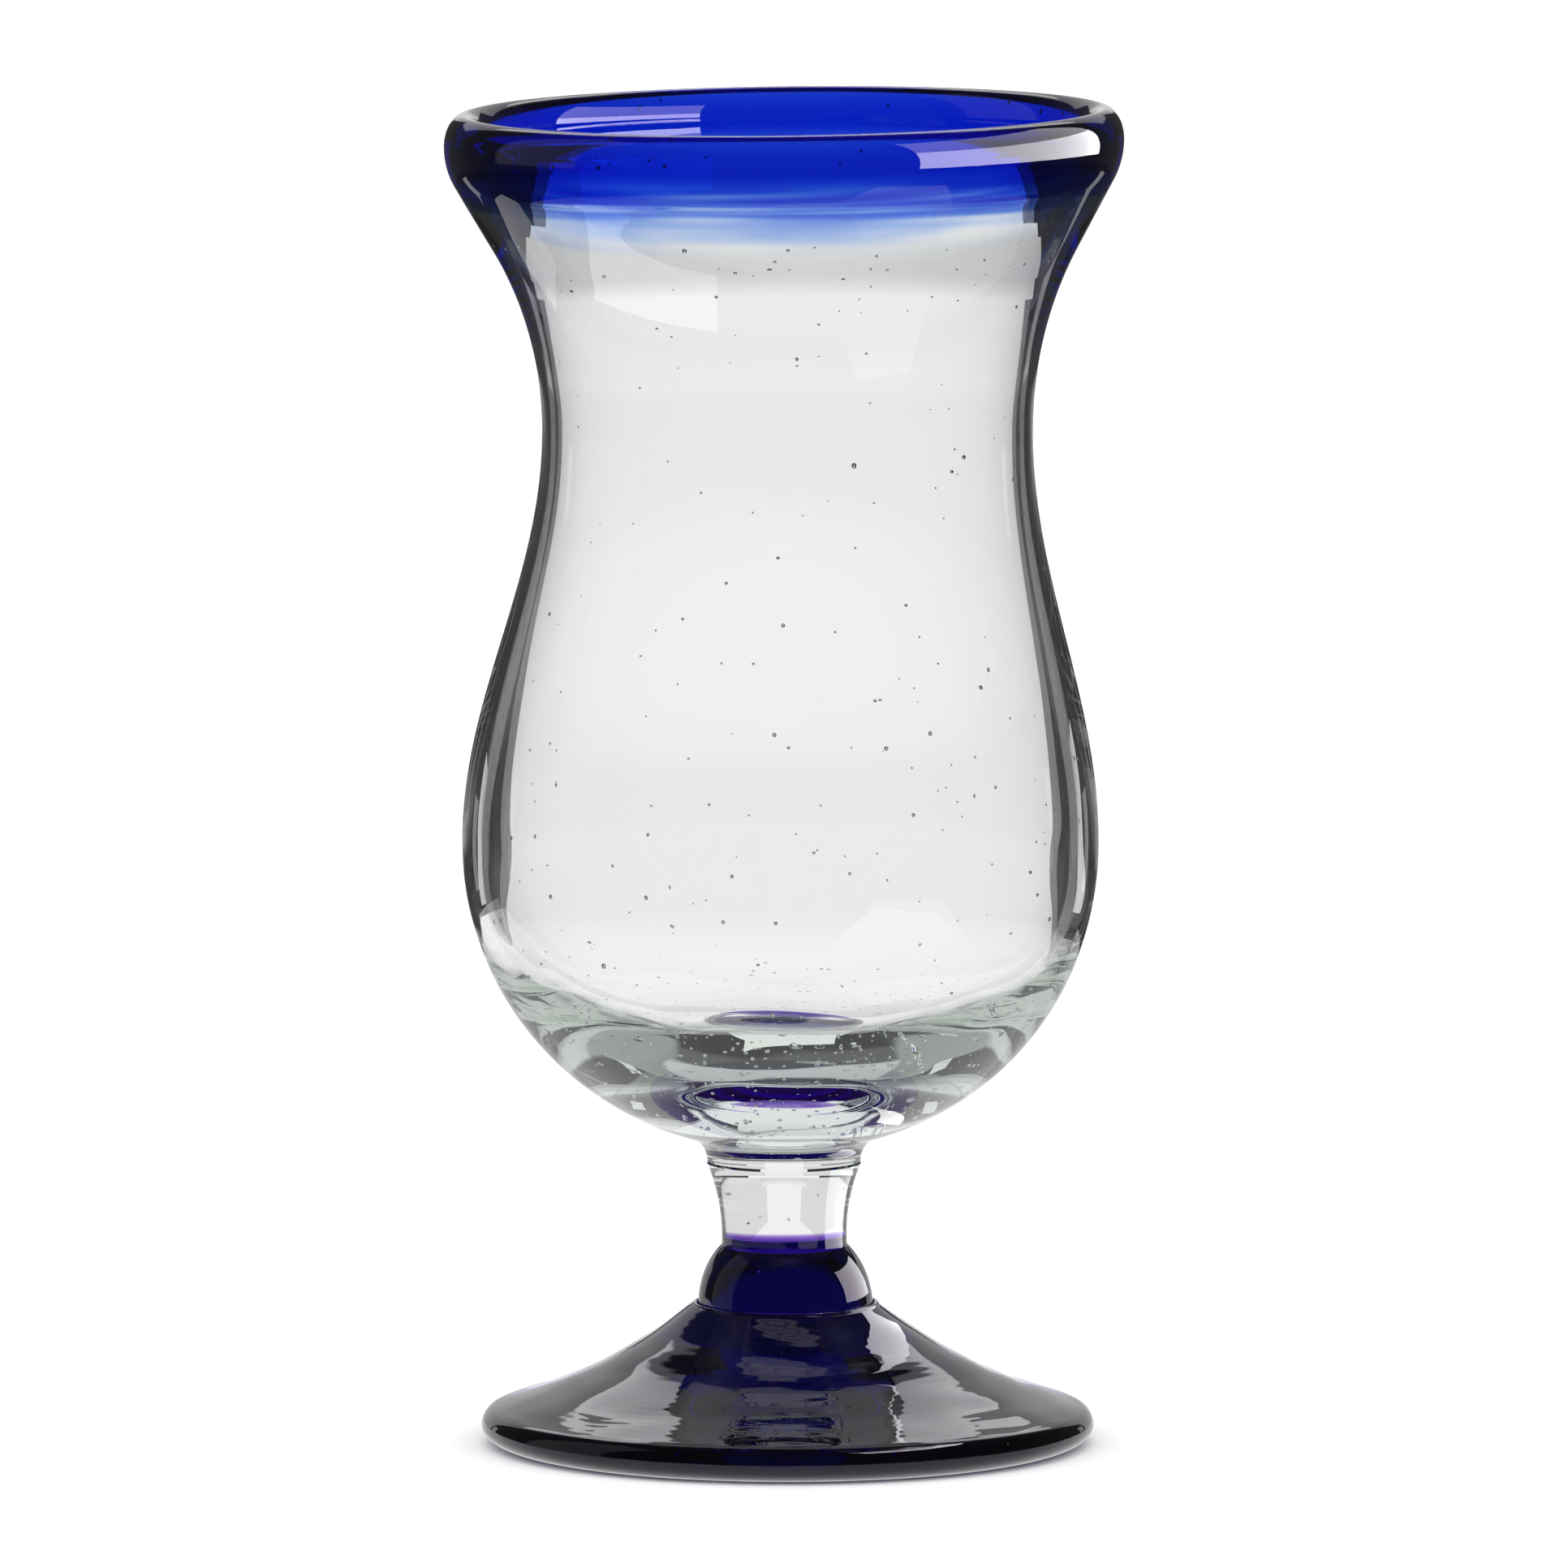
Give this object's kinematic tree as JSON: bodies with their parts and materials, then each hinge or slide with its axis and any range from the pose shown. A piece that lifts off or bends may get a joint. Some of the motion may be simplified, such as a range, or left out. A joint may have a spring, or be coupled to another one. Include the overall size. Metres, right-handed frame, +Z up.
{
  "type": "hurricane glass",
  "caption": "Hand-blown hurricane drinking glass: clear hourglass bowl with a thick cobalt lip, on a short clear stem, a cobalt ball knop and a flared cobalt foot.",
  "frame": {"origin": "centre of the foot on the table plane", "axes": "+Z up along the glass's axis of revolution; X and Y lie in the table plane, and the picture looks along +Y"},
  "size_m": [0.096, 0.096, 0.1899],
  "materials": {
    "clear_glass": "fire-polished clear glass, slightly wavy, with seed bubbles",
    "cobalt_glass": "fire-polished cobalt-blue glass, bright blue where thin and near black where thick"
  },
  "bodies": {
    "root": {"foot": "cobalt_glass", "knop": "cobalt_glass", "stem": "clear_glass", "bowl": "clear_glass", "lip_wrap": "cobalt_glass"}
  },
  "joints": []
}
